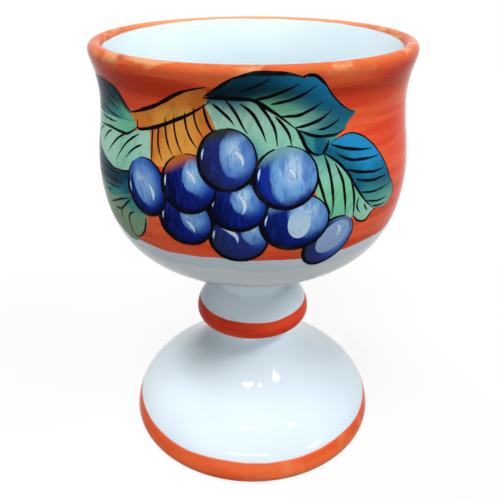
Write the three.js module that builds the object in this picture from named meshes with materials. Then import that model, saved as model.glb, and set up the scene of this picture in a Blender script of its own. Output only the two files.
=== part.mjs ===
// Glazed pottery goblet: a rounded bowl on a short stem with a swelling knop and a hollow domed foot.
// The clay pieces are luted together with slip, then coated with white and orange glaze.
// Millimetres, +Z up, the origin in the middle of the foot's resting face.
import * as THREE from "three";

// Bowl, measured over the glaze
const HEIGHT = 141.6;
const LIP_RADIUS = 49.6;
const LIP_ROUND = 2.2;
const LIP_FLARE = 10;
const WAIST_RADIUS = 47.5;
const WAIST_HEIGHT = 128;
const BELLY_RADIUS = 49.9;
const BELLY_HEIGHT = 104.3;
const BOWL_WALL = 4.6;
const BOWL_FLOOR_RISE = 4.7;
const UNDERSIDE_RADIUS = 28;
const UNDERSIDE_HEIGHT = 70.8;
const UNDERSIDE_SLOPE = 11;
const BOWL_BAND_LOW = 89;

// Stem and knop, measured over the glaze
const STEM_RADIUS = 12.2;
const STEM_TOP = 61;
const STEM_FOOT = 48.3;
const KNOP_RADIUS = 20.7;
const KNOP_HEIGHT = 45.2;
const KNOP_TOP = 55.4;
const KNOP_LOW = 40.8;
const KNOP_SHOULDER = 13.4;
const KNOP_BAND_TOP = 49.4;
const KNOP_BAND_LOW = 42.6;

// Foot, measured over the glaze
const NECK_RADIUS = 12.4;
const NECK_LENGTH = 1.2;
const DOME_RADIUS = 29;
const DOME_HEIGHT = 21.9;
const DOME_SLOPE = 33;
const FOOT_RADIUS = 46;
const FOOT_EDGE_HEIGHT = 1.7;
const FOOT_BAND_TOP = 8.1;
const FOOT_TUCK = 0.5;
const FOOT_TUCK_LEAN = 30;
const BARE_HEIGHT = 0.6;
const BARE_CHAMFER = 0.4;
const HOLLOW_RADIUS = 38;
const HOLLOW_HEIGHT = 33;
const BORE_RADIUS = 5.4;

// Coats and joints
const GLAZE = 0.4;
const SLIP = 0.5;

// How firmly both ends of a curved stretch pull it along, as shares of its span
const BOWL_FLOOR_PULL = [0.62, 0.36];
const BELLY_PULL = [0.44, 0.3];
const LIP_PULL = [0.45, 0.4];
const BOWL_SIDE_PULL = [0.455, 0.385];
const STEM_TOP_PULL = [0.5, 0.35];
const KNOP_UPPER_PULL = [0.2, 0.34];
const KNOP_LOWER_PULL = [0.42, 0.5];
const NECK_PULL = [0.15, 0.3];
const DOME_PULL = [0.25, 0.38];
const TUCK_PULL = [0.4, 0.4];
const HOLLOW_PULL = [0.44, 0.33];

// Facets round the axis, and the most that one facet of an outline turns or spans
const SIDES = 36;
const FACET_TURN = 26;
const FACET_SPAN = 10;

const WHITE_GLAZE = 0xeef1f4;
const ORANGE_GLAZE = 0xe0511f;
const BARE_CLAY = 0xc79a78;
const CLAY_SLIP = 0xb98863;

const radians = THREE.MathUtils.degToRad;
const point = (r, z) => new THREE.Vector2(r, z);

// A knot of the outline: where it is and which way the outline runs there
const knot = (r, z, dr, dz) => ({ at: point(r, z), run: point(dr, dz) });

// A station has its place over the glaze and the unit vector that points out of the clay
const station = (at, run) => {
  const along = run.clone().normalize();
  return { at, out: point(-along.y, along.x) };
};

// The smooth stretch between two knots, each pulling it along its own run
class Stretch {
  constructor(from, to, [fromPull, toPull]) {
    const span = from.at.distanceTo(to.at);
    this.a = from.at;
    this.b = from.at.clone().addScaledVector(from.run, fromPull * span);
    this.c = to.at.clone().addScaledVector(to.run, -toPull * span);
    this.d = to.at;
  }

  stationAt(t) {
    const s = 1 - t;
    const at = point(0, 0);
    at.addScaledVector(this.a, s * s * s);
    at.addScaledVector(this.b, 3 * s * s * t);
    at.addScaledVector(this.c, 3 * s * t * t);
    at.addScaledVector(this.d, t * t * t);
    const run = point(0, 0);
    run.addScaledVector(this.b.clone().sub(this.a), s * s);
    run.addScaledVector(this.c.clone().sub(this.b), 2 * s * t);
    run.addScaledVector(this.d.clone().sub(this.c), t * t);
    return station(at, run);
  }

  stations(from = 0, to = 1) {
    const first = this.stationAt(from);
    const last = this.stationAt(to);
    const turn = Math.abs(first.out.angleTo(last.out));
    const span = first.at.distanceTo(last.at);
    const steps = Math.ceil(Math.max(turn / radians(FACET_TURN), span / FACET_SPAN));
    return Array.from({ length: steps + 1 }, (_, i) => this.stationAt(from + ((to - from) * i) / steps));
  }

  // Where the stretch crosses a height, for an edge of colour
  crossing(height) {
    const rises = this.d.y > this.a.y;
    let low = 0;
    let high = 1;
    for (let i = 0; i < 60; i += 1) {
      const middle = (low + high) / 2;
      const below = this.stationAt(middle).at.y < height;
      if (below === rises) low = middle;
      else high = middle;
    }
    return (low + high) / 2;
  }
}

// Two stretches meet: the shared station looks halfway between both, a corner is mitred
function join(...lists) {
  const joined = [...lists[0]];
  for (const list of lists.slice(1)) {
    const last = joined[joined.length - 1];
    const reach = 1 + last.out.dot(list[0].out);
    joined[joined.length - 1] = { at: last.at, out: last.out.clone().add(list[0].out).divideScalar(reach) };
    joined.push(...list.slice(1));
  }
  return joined;
}

const over = (stations) => stations.map((s) => s.at);
const under = (stations) => stations.map((s) => s.at.clone().addScaledVector(s.out, -GLAZE));

// Knots over the glaze, from the middle of the bowl's floor to the edge of the foot
const flare = point(Math.sin(radians(LIP_FLARE)), Math.cos(radians(LIP_FLARE)));
const lipCentre = point(LIP_RADIUS - LIP_ROUND, HEIGHT - LIP_ROUND);
const lipSide = point(flare.y, -flare.x);
const lipInside = lipCentre.clone().addScaledVector(lipSide, -LIP_ROUND);
const lipOutside = lipCentre.clone().addScaledVector(lipSide, LIP_ROUND);
const lowSlope = radians(UNDERSIDE_SLOPE);
const domeSlope = radians(DOME_SLOPE);
const tuckLean = radians(FOOT_TUCK_LEAN);

const floorKnot = knot(0, UNDERSIDE_HEIGHT + BOWL_FLOOR_RISE, 1, 0);
const bellyInKnot = knot(BELLY_RADIUS - BOWL_WALL, BELLY_HEIGHT, 0, 1);
const waistInKnot = knot(WAIST_RADIUS - BOWL_WALL, WAIST_HEIGHT, 0, 1);
const lipInKnot = knot(lipInside.x, lipInside.y, flare.x, flare.y);
const lipOutKnot = knot(lipOutside.x, lipOutside.y, -flare.x, -flare.y);
const waistKnot = knot(WAIST_RADIUS, WAIST_HEIGHT, 0, -1);
const bellyKnot = knot(BELLY_RADIUS, BELLY_HEIGHT, 0, -1);
const undersideKnot = knot(UNDERSIDE_RADIUS, UNDERSIDE_HEIGHT, -Math.cos(lowSlope), -Math.sin(lowSlope));
const stemTopKnot = knot(STEM_RADIUS, STEM_TOP, 0, -1);
const stemLowKnot = knot(STEM_RADIUS, KNOP_TOP, 0, -1);
const knopInKnot = knot(STEM_RADIUS, KNOP_TOP, 1, 0);
const knopTopKnot = knot(KNOP_SHOULDER, KNOP_TOP, 1, 0);
const knopKnot = knot(KNOP_RADIUS, KNOP_HEIGHT, 0, -1);
const knopLowKnot = knot(NECK_RADIUS + (KNOP_SHOULDER - STEM_RADIUS), KNOP_LOW, -1, 0);
const knopOutKnot = knot(NECK_RADIUS, KNOP_LOW, -1, 0);
const neckTopKnot = knot(NECK_RADIUS, KNOP_LOW, 0, -1);
const neckLowKnot = knot(NECK_RADIUS, KNOP_LOW - NECK_LENGTH, 0, -1);
const domeKnot = knot(DOME_RADIUS, DOME_HEIGHT, Math.cos(domeSlope), -Math.sin(domeSlope));
const footKnot = knot(FOOT_RADIUS, FOOT_EDGE_HEIGHT, 0, -1);
const tuckKnot = knot(FOOT_RADIUS - FOOT_TUCK, BARE_HEIGHT, -Math.sin(tuckLean), -Math.cos(tuckLean));

// The outline of each colour of glaze
const lipSteps = Math.round(180 / (2 * FACET_TURN));
const lipArc = Array.from({ length: lipSteps + 1 }, (_, i) => {
  const turn = Math.PI - radians(LIP_FLARE) - (Math.PI * i) / lipSteps;
  const out = point(Math.cos(turn), Math.sin(turn));
  return { at: lipCentre.clone().addScaledVector(out, LIP_ROUND), out };
});
const straight = (from, to) => [station(from.at, from.run), station(to.at, from.run)];

const insideOutline = join(
  new Stretch(floorKnot, bellyInKnot, BOWL_FLOOR_PULL).stations(),
  new Stretch(bellyInKnot, waistInKnot, BELLY_PULL.toReversed()).stations(),
  new Stretch(waistInKnot, lipInKnot, LIP_PULL.toReversed()).stations(),
);

const bowlSide = new Stretch(bellyKnot, undersideKnot, BOWL_SIDE_PULL);
const bowlEdge = bowlSide.crossing(BOWL_BAND_LOW);
const bowlBandOutline = join(
  lipArc,
  new Stretch(lipOutKnot, waistKnot, LIP_PULL).stations(),
  new Stretch(waistKnot, bellyKnot, BELLY_PULL).stations(),
  bowlSide.stations(0, bowlEdge),
);

const bowlLowOutline = join(
  bowlSide.stations(bowlEdge, 1),
  new Stretch(undersideKnot, stemTopKnot, STEM_TOP_PULL).stations(),
);

const knopUpper = new Stretch(knopTopKnot, knopKnot, KNOP_UPPER_PULL);
const knopLower = new Stretch(knopKnot, knopLowKnot, KNOP_LOWER_PULL);
const knopTopEdge = knopUpper.crossing(KNOP_BAND_TOP);
const knopLowEdge = knopLower.crossing(KNOP_BAND_LOW);
const stemOutline = straight(stemTopKnot, stemLowKnot);
const knopTopOutline = join(straight(knopInKnot, knopTopKnot), knopUpper.stations(0, knopTopEdge));
const knopBandOutline = join(knopUpper.stations(knopTopEdge, 1), knopLower.stations(0, knopLowEdge));
const knopLowOutline = join(knopLower.stations(knopLowEdge, 1), straight(knopLowKnot, knopOutKnot));

const dome = new Stretch(domeKnot, footKnot, DOME_PULL);
const domeEdge = dome.crossing(FOOT_BAND_TOP);
const footOutline = join(
  straight(neckTopKnot, neckLowKnot),
  new Stretch(neckLowKnot, domeKnot, NECK_PULL).stations(),
  dome.stations(0, domeEdge),
);
const footBandOutline = join(
  dome.stations(domeEdge, 1),
  new Stretch(footKnot, tuckKnot, TUCK_PULL).stations(),
);

const boreKnot = knot(BORE_RADIUS - GLAZE, HOLLOW_HEIGHT, 0, 1);
const ringKnot = knot(HOLLOW_RADIUS, BARE_HEIGHT, 0, 1);
const hollowOutline = new Stretch(ringKnot, boreKnot, HOLLOW_PULL).stations();

const waistOutline = join(bowlLowOutline, stemOutline, knopTopOutline);
const lowOutline = join(knopLowOutline, footOutline);

// Solids turned about the upright axis
const solids = [];
const finish = (color, roughness) => new THREE.MeshStandardMaterial({ color, roughness });

function turned(name, profile, material) {
  const closed = profile[0].x === 0 ? profile : [...profile, profile[0]];
  const geometry = new THREE.LatheGeometry(closed, SIDES);
  geometry.rotateX(Math.PI / 2);
  const mesh = new THREE.Mesh(geometry, material);
  mesh.name = name;
  solids.push(mesh);
}

const ring = (inner, outer, low, high) => [
  point(inner, low),
  point(outer, low),
  point(outer, high),
  point(inner, high),
];

function coat(name, outline, color) {
  turned(name, [...under(outline), ...over(outline).reverse()], finish(color, 0.15));
}

const clay = finish(BARE_CLAY, 0.85);
const slip = finish(CLAY_SLIP, 0.9);
const core = STEM_RADIUS - GLAZE;
const knopBore = core + SLIP;
const knopRise = KNOP_TOP - GLAZE;
const shoulder = KNOP_LOW + GLAZE;

// Clay pieces
const bowlClay = under(join(insideOutline, bowlBandOutline, bowlLowOutline)).reverse();
turned("bowl", [point(0, STEM_TOP), ...bowlClay], clay);

const stemHigh = STEM_TOP - SLIP;
turned("stem", ring(BORE_RADIUS, core, STEM_FOOT, stemHigh), clay);

const knopOutline = join(knopTopOutline, knopBandOutline, knopLowOutline);
const knopSkin = under(knopOutline).slice(1, -1).reverse();
turned("knop", [point(knopBore, shoulder), ...knopSkin, point(knopBore, knopRise)], clay);

const footSkin = under(join(lowOutline, footBandOutline)).slice(knopLowOutline.length - 1);
const hollowSkin = under(hollowOutline);
const footTop = STEM_FOOT - SLIP;
const ringOuter = footSkin[footSkin.length - 1].x - BARE_CHAMFER;
const ringInner = hollowSkin[0].x + BARE_CHAMFER;
const footProfile = [
  point(ringInner, 0),
  point(ringOuter, 0),
  ...footSkin.reverse(),
  point(core, shoulder),
  point(core, footTop),
  point(BORE_RADIUS, footTop),
  ...hollowSkin.reverse(),
];
turned("foot", footProfile, clay);

// Joints of slip between the clay pieces
turned("bowl_joint", ring(BORE_RADIUS, core, stemHigh, STEM_TOP), slip);
turned("foot_joint", ring(BORE_RADIUS, core, footTop, STEM_FOOT), slip);
turned("knop_joint", ring(core, knopBore, shoulder, knopRise), slip);

// Coats of glaze, one for each stretch of colour
coat("inside_glaze", insideOutline, WHITE_GLAZE);
coat("bowl_band", bowlBandOutline, ORANGE_GLAZE);
coat("waist_glaze", waistOutline, WHITE_GLAZE);
coat("knop_band", knopBandOutline, ORANGE_GLAZE);
coat("foot_glaze", lowOutline, WHITE_GLAZE);
coat("foot_band", footBandOutline, ORANGE_GLAZE);
coat("hollow_glaze", hollowOutline, WHITE_GLAZE);

const goblet = new THREE.Group();
goblet.name = "pottery_goblet";
goblet.add(...solids);

export default goblet;
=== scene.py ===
import math

import bmesh
import bpy
import numpy as np
from mathutils import Euler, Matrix, Quaternion, Vector, noise


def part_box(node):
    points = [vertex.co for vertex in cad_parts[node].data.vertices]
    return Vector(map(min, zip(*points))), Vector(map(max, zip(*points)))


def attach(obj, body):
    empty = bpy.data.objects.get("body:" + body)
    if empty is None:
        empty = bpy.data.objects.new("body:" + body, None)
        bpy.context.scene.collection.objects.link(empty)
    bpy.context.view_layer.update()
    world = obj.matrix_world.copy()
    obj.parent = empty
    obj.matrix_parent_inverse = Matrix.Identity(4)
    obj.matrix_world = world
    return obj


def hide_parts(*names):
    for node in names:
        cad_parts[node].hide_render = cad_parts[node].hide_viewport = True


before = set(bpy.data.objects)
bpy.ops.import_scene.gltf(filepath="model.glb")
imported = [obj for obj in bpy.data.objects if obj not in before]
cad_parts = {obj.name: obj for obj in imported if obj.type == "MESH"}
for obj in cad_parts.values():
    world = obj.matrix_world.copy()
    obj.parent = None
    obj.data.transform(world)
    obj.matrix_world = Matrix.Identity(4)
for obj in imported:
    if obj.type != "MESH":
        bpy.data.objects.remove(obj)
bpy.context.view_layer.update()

# Sizes in millimetres, angles in degrees; meshes are in metres
MM = 0.001
WELD = 0.000001
BODY = "root"
CLAY_NODES = ("bowl", "stem", "knop", "foot", "bowl_joint", "foot_joint", "knop_joint")
OUTER_COATS = ("inside_glaze", "bowl_band", "waist_glaze", "knop_band", "foot_glaze", "foot_band")
GLAZE = 0.4
CLAY_NEAR = 0.1
TURN_STEPS = 192
TURN_SHARP = 50
SKIN_STEP = 1.0
SLACK = 0.01
UPRIGHT = 0.0005
CREASE_ANGLE = 75
CREASE_REACH = 1.3
CREASE_PASSES = 6
LIP_POINTS = 4
LIP_STEPS = 14

# Where the brushed orange starts and ends, up the axis
BOWL_BAND_LOW = 89.0
KNOP_BAND_LOW = 42.6
KNOP_BAND_TOP = 49.4
FOOT_BAND_TOP = 8.1
LIP_BAND_LOW = 139.7
LIP_BAND_BACK = 140.9
LIP_CROWN = 47.4
LIP_FOOT = 136.0
FRINGE_HEIGHT = 1.6
FRINGE_FOOT = (30.0, 40.0)

# How soft the edges of the orange are, to either side, and how far the brush strayed from them
EDGE_SOFT = 0.2
LIP_FOOT_SOFT = 0.5
KNOP_LOW_SOFT = 0.5
KNOP_TOP_SOFT = 0.15
FOOT_SOFT = 0.4
SLOW_STRAY = 4.4
QUICK_STRAY = 1.1
BAND_STRAY = 0.45
LIP_STRAY = 0.35

# Heights between which the brush marks of the bowl come and go, and the band of painted reflection under
# the bowl
STREAK_STRAY = 9.0
STROKES_LOW = (134.0, 139.0)
STROKES_TOP = (143.5, 140.0)
LIP_THINNED = (141.5, 145.5)
LIP_BROWNED = (137.0, 139.5)
# Heights on the lip where it pales: thin, worn paint, and at the back also painted light
LIP_WORN_AND_LIT = (138.0, 140.6)
# Painted reflection: the white under the bowl is paler between these heights, standing in for the white
# foot mirrored there
PAINTED_REFLECTION_TOP = (85.5, 84.0)
PAINTED_REFLECTION_FOOT = (62.0, 66.0)

# Where the lip's orange thins from front to back, and pales at the back as thin paint and painted light, in
# metres
LIP_TURN = (-0.01, 0.045)
LIP_THIN_AND_LIT_BACK = (0.0, 0.045)

# Heights on the foot: the bare ring, and the foot of the plain neck
BARE_HEIGHT = 0.6
NECK_FOOT = 39.4


def srgb(red, green, blue):
    """A colour as it shows, 0 to 255, in the linear values that shaders take."""
    linear = []
    for part in (red, green, blue):
        share = part / 255
        linear.append(share / 12.92 if share <= 0.04045 else ((share + 0.055) / 1.055) ** 2.4)
    return (*linear, 1.0)


# Glazes and paints
WHITE = srgb(228, 243, 252)
WHITE_SHADE = srgb(221, 237, 248)
# Paler white of the painted reflection of the foot under the bowl
PAINTED_REFLECTION_WHITE = srgb(246, 253, 255)
HOLLOW_SHADE = srgb(214, 216, 216)
SPECK_BROWN = srgb(150, 120, 96)
INSIDE_WHITE = srgb(232, 244, 248)
INSIDE_SHADE = srgb(226, 240, 246)
BOWL_ORANGE = (srgb(240, 72, 38), srgb(254, 106, 62), srgb(208, 106, 56))
KNOP_ORANGE = (srgb(232, 60, 34), srgb(250, 82, 46), srgb(250, 128, 86))
FOOT_ORANGE = (srgb(236, 92, 46), srgb(248, 114, 62), srgb(248, 140, 90))
ORANGE_FRINGE = srgb(240, 158, 124)
STROKE_TINT = srgb(222, 214, 200)
STREAK_TINT = srgb(214, 222, 226)
LIP_BROWN = srgb(168, 74, 44)
# Pale lip orange, for thin paint and for painted light on the back of the lip
LIP_PALE_THIN_AND_LIT = srgb(230, 168, 120)
NIGHT_TEAL = srgb(12, 42, 52)
DEEP_TEAL = srgb(12, 60, 80)
TEAL = srgb(22, 98, 126)
SEA_BLUE = srgb(36, 150, 208)
SEA_GREEN = srgb(58, 150, 148)
LEAF_GREEN = srgb(118, 202, 158)
MINT = srgb(146, 210, 184)
PALE_MINT = srgb(170, 224, 200)
SAGE = srgb(140, 178, 140)
STALK_YELLOW = srgb(240, 164, 70)
STALK_ORANGE = srgb(228, 132, 52)
STALK_SHADE = srgb(206, 112, 40)
INK = srgb(14, 14, 20)
INK_THIN = srgb(44, 46, 54)
GRAPE_DEEP = srgb(16, 30, 120)
GRAPE_NIGHT = srgb(9, 15, 52)
GRAPE_ROYAL = srgb(26, 54, 166)
GRAPE_MID = srgb(70, 118, 202)
GRAPE_LIGHT = srgb(120, 174, 228)
GRAPE_PALE = srgb(184, 218, 246)
GRAPE_BRIGHT = srgb(196, 224, 244)
GRAPE_HAZE = srgb(156, 182, 222)
GRAPE_GREY = srgb(104, 126, 180)
GRAPE_OLIVE = srgb(58, 58, 46)
GRAPE_MINT = srgb(128, 178, 186)
LIGHT_STROKE = srgb(218, 230, 243)
CLAY = srgb(198, 152, 118)
CLAY_DARK = srgb(168, 120, 88)


# Outlines read off the CAD nodes
def meridian(node):
    """The outline of a turned CAD node in the plane of its front, as a wire of merged edges."""
    wire = bmesh.new()
    wire.from_mesh(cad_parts[node].data)
    bmesh.ops.remove_doubles(wire, verts=wire.verts, dist=WELD)
    aside = [v for v in wire.verts if abs(v.co.x) > WELD or v.co.y > WELD]
    bmesh.ops.delete(wire, geom=aside, context="VERTS")
    return wire


def walk(wire, here):
    """The points of a wire in order, as radius and height in mm."""
    line = []
    passed = None
    first = here
    while True:
        line.append((-here.co.y / MM, here.co.z / MM))
        onward = [e for e in here.link_edges if e is not passed]
        if not onward:
            return line
        passed = onward[0]
        here = passed.other_vert(here)
        if here is first:
            return line


def clay_points():
    """The outline points of every clay node."""
    points = []
    for node in CLAY_NODES:
        wire = meridian(node)
        points += [v.co.copy() for v in wire.verts]
        wire.free()
    return points


def skin(node, start, clay):
    """The outer line of a coat, the points that touch no clay, from the end nearest to start."""
    wire = meridian(node)
    inner = [v for v in wire.verts if min((v.co - c).length for c in clay) < CLAY_NEAR * MM]
    bmesh.ops.delete(wire, geom=inner, context="VERTS")
    ends = [v for v in wire.verts if len(v.link_edges) == 1]
    from_end = Vector((0, -start[0] * MM, start[1] * MM))
    line = walk(wire, min(ends, key=lambda v: (v.co - from_end).length))
    wire.free()
    return line


def turned(x, y, angle):
    """A place turned about the origin, angle in radians."""
    return x * math.cos(angle) - y * math.sin(angle), x * math.sin(angle) + y * math.cos(angle)


def round_lip(line):
    """The half circle of the lip, drawn finer between the points that the CAD coat starts with."""
    first, last = np.array(line[0]), np.array(line[LIP_POINTS - 1])
    middle = (first + last) / 2
    arm = first - middle
    arc = []
    for k in range(LIP_STEPS + 1):
        swing = turned(*arm, -math.pi * k / LIP_STEPS)
        arc.append((middle[0] + swing[0], middle[1] + swing[1]))
    return [*arc, *line[LIP_POINTS:]]


def smooth_line(points, step, crease=180):
    """A curve through the points with corners only at creases, and where each point lies on it.

    Upright and level stretches stay straight.
    """
    spots = np.array(points, float)
    spans = np.linalg.norm(np.diff(spots, axis=0), axis=1)
    slopes = np.diff(spots, axis=0) / spans[:, None]
    last = len(spots) - 1
    runs = np.zeros((len(spots), 2, 2))
    bends = {0, last}
    for i in range(1, last):
        turn = math.degrees(math.acos(max(-1.0, min(1.0, float(slopes[i - 1] @ slopes[i])))))
        if turn > crease:
            bends.add(i)
        run = (slopes[i - 1] * spans[i] + slopes[i] * spans[i - 1]) / (spans[i - 1] + spans[i])
        for beside in (slopes[i - 1], slopes[i]):
            if min(abs(beside)) < UPRIGHT:
                run = beside
        runs[i] = run, run
    for i in sorted(bends):
        if i > 0:
            runs[i][0] = slopes[i - 1] if i - 1 in bends else 2 * slopes[i - 1] - runs[i - 1][1]
        if i < last:
            runs[i][1] = slopes[i] if i + 1 in bends else 2 * slopes[i] - runs[i + 1][0]
    line = [spots[0]]
    places = [0]
    for i in range(last):
        count = max(1, math.ceil(spans[i] / step))
        for k in range(1, count + 1):
            t = k / count
            whole = spots[i] * (1 + 2 * t) * (1 - t) ** 2 + spots[i + 1] * t * t * (3 - 2 * t)
            pull = runs[i][1] * t * (1 - t) ** 2 - runs[i + 1][0] * t * t * (1 - t)
            line.append(whole + pull * spans[i])
        places.append(len(line) - 1)
    return np.array(line), places, bends


def fill_creases(line, corners):
    """Glaze gathers in a crease: the line is rounded off near each corner."""
    for corner in corners:
        near = np.linalg.norm(line - line[corner], axis=1) < CREASE_REACH
        near[[0, -1]] = False
        for _ in range(CREASE_PASSES):
            eased = line.copy()
            eased[1:-1] = (line[:-2] + 2 * line[1:-1] + line[2:]) / 4
            line = np.where(near[:, None], eased, line)
    return line


def outward(line):
    """Unit vectors that point out of the clay, for a line that runs from the bowl's floor to the foot."""
    runs = np.gradient(line, axis=0)
    runs /= np.linalg.norm(runs, axis=1)[:, None]
    return np.stack([-runs[:, 1], runs[:, 0]], axis=1)


# New pieces
def piece(name, mesh, material, slot, *nodes):
    """A finished mesh as a piece of the goblet."""
    thing = bpy.data.objects.new(name, mesh)
    bpy.context.scene.collection.objects.link(thing)
    mesh.materials.append(material)
    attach(thing, BODY)
    if nodes:
        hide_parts(*nodes)


def smooth_mesh(name, made, sharp):
    """The mesh of a finished shape, smooth except at edges that bend more than sharp degrees."""
    bmesh.ops.recalc_face_normals(made, faces=made.faces)
    for face in made.faces:
        face.smooth = True
    mesh = bpy.data.meshes.new(name)
    made.to_mesh(mesh)
    made.free()
    mesh.set_sharp_from_angle(angle=math.radians(sharp))
    return mesh


def spun(name, loop, axial=False):
    """A solid turned from its outline, radius and height in mm."""
    wheel = bmesh.new()
    verts = [wheel.verts.new((0, -r * MM, z * MM)) for r, z in loop]
    edges = [wheel.edges.new(pair) for pair in zip(verts, verts[1:])]
    if not axial:
        edges.append(wheel.edges.new((verts[-1], verts[0])))
    bmesh.ops.spin(wheel, geom=verts + edges, cent=(0, 0, 0), axis=(0, 0, 1), angle=math.tau,
                   steps=TURN_STEPS, use_merge=True)
    bmesh.ops.remove_doubles(wheel, verts=wheel.verts, dist=0.1 * WELD)
    return smooth_mesh(name, wheel, TURN_SHARP)


# Finishes
class Shading:
    """Shader nodes of one tree, made and joined by short calls."""

    def __init__(self, tree):
        self.tree = tree

    def node(self, kind, **settings):
        made = self.tree.nodes.new("ShaderNode" + kind)
        for key, value in settings.items():
            setattr(made, key, value)
        return made

    def feed(self, socket, value):
        if isinstance(value, bpy.types.NodeSocket):
            self.tree.links.new(value, socket)
        else:
            socket.default_value = value

    def place(self):
        return self.node("TexCoord").outputs["Object"]

    def parts(self, vector):
        """The X, Y and Z of a vector."""
        made = self.node("SeparateXYZ")
        self.feed(made.inputs[0], vector)
        return made.outputs

    def height(self):
        """Height over the floor, in mm."""
        return self.math("DIVIDE", self.parts(self.place())["Z"], MM)

    def reach(self, vector):
        """How far a place is from the middle, whatever its height."""
        made = self.node("VectorMath", operation="LENGTH")
        self.feed(made.inputs[0], self.stretch(vector, (1.0, 1.0, 0.0)))
        return made.outputs["Value"]

    def attribute(self, name):
        return self.node("Attribute", attribute_name=name).outputs

    def math(self, operation, first, second=0.0):
        made = self.node("Math", operation=operation)
        self.feed(made.inputs[0], first)
        self.feed(made.inputs[1], second)
        return made.outputs[0]

    def chain(self, operation, values):
        """One value from many, taken in turn."""
        total = values[0]
        for value in values[1:]:
            total = self.math(operation, total, value)
        return total

    def plus(self, *values):
        return self.chain("ADD", values)

    def minus(self, *values):
        return self.chain("SUBTRACT", values)

    def times(self, *values):
        return self.chain("MULTIPLY", values)

    def either(self, *values):
        return self.chain("MAXIMUM", values)

    def stretch(self, vector, scale):
        made = self.node("Mapping")
        self.feed(made.inputs["Vector"], vector)
        made.inputs["Scale"].default_value = scale
        return made.outputs[0]

    def noise(self, vector, scale, detail, warp=0.0):
        made = self.node("TexNoise")
        self.feed(made.inputs["Vector"], vector)
        made.inputs["Scale"].default_value = scale
        made.inputs["Detail"].default_value = detail
        made.inputs["Distortion"].default_value = warp
        return made.outputs["Fac"]

    def sway(self, noise_value, most):
        """A noise turned into a sway to both sides."""
        return self.times(self.minus(noise_value, 0.5), most)

    def ease(self, value, low, high, start=0.0, end=1.0):
        """Goes softly from start to end while the value goes from low to high."""
        made = self.node("MapRange", interpolation_type="SMOOTHSTEP")
        self.feed(made.inputs[0], value)
        for socket, number in zip(made.inputs[1:5], (low, high, start, end)):
            self.feed(socket, number)
        return made.outputs[0]

    def past(self, value, line, soft):
        """Goes from 0 to 1 as the value rises past a line, or from 1 to 0 where soft is negative."""
        return self.ease(value, line - soft, line + soft)

    def mix(self, share, first, second, blend="MIX"):
        made = self.node("Mix", data_type="RGBA", blend_type=blend)
        self.feed(made.inputs[0], share)
        self.feed(made.inputs[6], first)
        self.feed(made.inputs[7], second)
        return made.outputs[2]


class Finish(Shading):
    """A finish of the goblet: nodes that feed a glossy shader."""

    def __init__(self, name, roughness, specular):
        self.material = bpy.data.materials.new(name)
        self.material.use_nodes = True
        super().__init__(self.material.node_tree)
        self.shader = self.tree.nodes["Principled BSDF"]
        self.shader.inputs["Roughness"].default_value = roughness
        self.shader.inputs["Specular IOR Level"].default_value = specular

    def paint(self, colour):
        self.feed(self.shader.inputs["Base Color"], colour)
        return self.material

    def ripple(self, height, depth):
        """Unevenness of the surface, depth in mm."""
        made = self.node("Bump")
        made.inputs["Strength"].default_value = 1.0
        made.inputs["Distance"].default_value = depth * MM
        self.feed(made.inputs["Height"], height)
        self.feed(self.shader.inputs["Normal"], made.outputs[0])


# How smooth each surface is, and how much it mirrors
GLOSS = 0.05
HOLLOW_GLOSS = 0.16
CLAY_ROUGH = 0.85
WHITE_SHINE = 0.42
INSIDE_SHINE = 0.04
WAIST_SHINE = 0.12
ORANGE_SHINE = 0.025
PAINT_SHINE = 0.01
CLAY_SHINE = 0.3
RIPPLE_DEPTH = 0.03
PEEL_SHARE = 0.06
GRIT_DEPTH = 0.12


def glazed(name, shine, roughness=GLOSS):
    """A finish whose glaze ran a little in the kiln: long soft waves and a fine orange peel."""
    finish = Finish(name, roughness, shine)
    place = finish.place()
    waves = finish.noise(place, 42.0, 1.0)
    peel = finish.noise(place, 420.0, 1.0)
    finish.ripple(finish.plus(waves, finish.times(peel, PEEL_SHARE)), RIPPLE_DEPTH)
    return finish


def white_body(finish, light, shade):
    """Tin glaze: not quite even, with a few dark specks."""
    place = finish.place()
    cloud = finish.ease(finish.noise(place, 26.0, 3.0), 0.35, 0.7)
    body = finish.mix(cloud, light, shade)
    specks = finish.node("TexVoronoi")
    specks.inputs["Scale"].default_value = 95.0
    finish.feed(specks.inputs["Vector"], place)
    rare = finish.ease(finish.noise(place, 60.0, 1.0), 0.66, 0.7)
    dots = finish.times(finish.ease(specks.outputs["Distance"], 0.05, 0.02), rare, 0.5)
    return finish.mix(dots, body, SPECK_BROWN)


def worn_lip(finish, body):
    """The orange of the lip: browner along the brush, pale where it is thin, paler at the back: thin paint
    and painted light.
    """
    place = finish.place()
    flecks = finish.noise(finish.stretch(place, (1.0, 1.0, 2.5)), 95.0, 3.0, 0.5)
    dry = finish.noise(finish.stretch(place, (1.0, 1.0, 4.0)), 46.0, 3.0, 0.6)
    brown = finish.times(finish.ease(dry, 0.5, 0.68), finish.ease(finish.height(), *LIP_BROWNED), 0.6)
    body = finish.mix(brown, body, LIP_BROWN)
    top = finish.ease(finish.height(), *LIP_WORN_AND_LIT)
    # Paler towards the back of the lip: partly thin paint, partly painted light where the back lip is
    # brightly lit
    back = finish.ease(finish.parts(place)["Y"], *LIP_THIN_AND_LIT_BACK)
    thin = finish.either(finish.ease(flecks, 0.47, 0.66), back)
    return finish.mix(finish.times(thin, top, 0.75), body, LIP_PALE_THIN_AND_LIT)


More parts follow.
